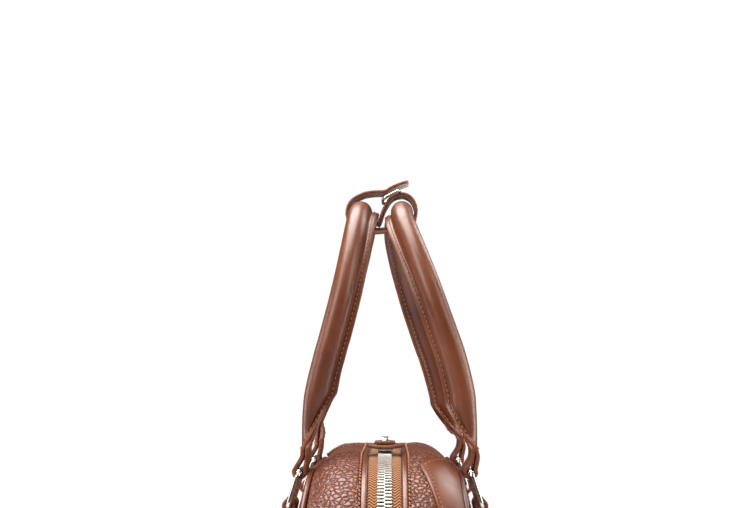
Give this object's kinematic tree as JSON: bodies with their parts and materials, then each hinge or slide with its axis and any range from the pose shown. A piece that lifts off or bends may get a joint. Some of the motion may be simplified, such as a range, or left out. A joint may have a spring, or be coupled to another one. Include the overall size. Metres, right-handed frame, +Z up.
{
  "type": "boston bag",
  "caption": "Small zipped boston bag in brown leather with rolled handles on rectangular rings, held together at the top by a buckled keeper strap.",
  "frame": {"origin": "on the floor under the middle of the base panel", "axes": "+Z up, Y along the bag's length with the pictured end at -Y, X across its depth"},
  "size_m": [0.1354, 0.2814, 0.3733],
  "materials": {
    "grained_leather": "pebbled brown leather with a soft sheen",
    "smooth_leather": "smooth reddish brown leather, lightly polished",
    "edge_leather": "painted leather edge and piping",
    "zip_tape": "caramel herringbone zip tape",
    "zip_metal": "polished nickel zip teeth",
    "silver_metal": "polished silver hardware"
  },
  "bodies": {
    "root": {"side_panel_left": "grained_leather", "piping_left": "edge_leather", "top_gusset_left": "smooth_leather", "zip_tape_left": "zip_tape", "zip_binding_left": "smooth_leather", "handle_left": "smooth_leather", "ring_left_near": "silver_metal", "ring_tab_left_near": "smooth_leather", "ring_left_far": "silver_metal", "ring_tab_left_far": "smooth_leather", "side_panel_right": "grained_leather", "piping_right": "edge_leather", "top_gusset_right": "smooth_leather", "zip_tape_right": "zip_tape", "zip_binding_right": "smooth_leather", "handle_right": "smooth_leather", "ring_right_near": "silver_metal", "ring_tab_right_near": "smooth_leather", "ring_right_far": "silver_metal", "ring_tab_right_far": "smooth_leather", "end_panel_near": "grained_leather", "patch_high_near": "smooth_leather", "patch_low_near": "smooth_leather", "end_panel_far": "grained_leather", "patch_high_far": "smooth_leather", "patch_low_far": "smooth_leather", "base_panel": "grained_leather", "zip_chain": "zip_metal", "zip_slider": "silver_metal", "pull_link": "silver_metal", "pull_tab": "smooth_leather", "pull_cap": "smooth_leather", "keeper_strap": "smooth_leather", "buckle_frame": "silver_metal", "buckle_prong": "silver_metal"}
  },
  "joints": []
}
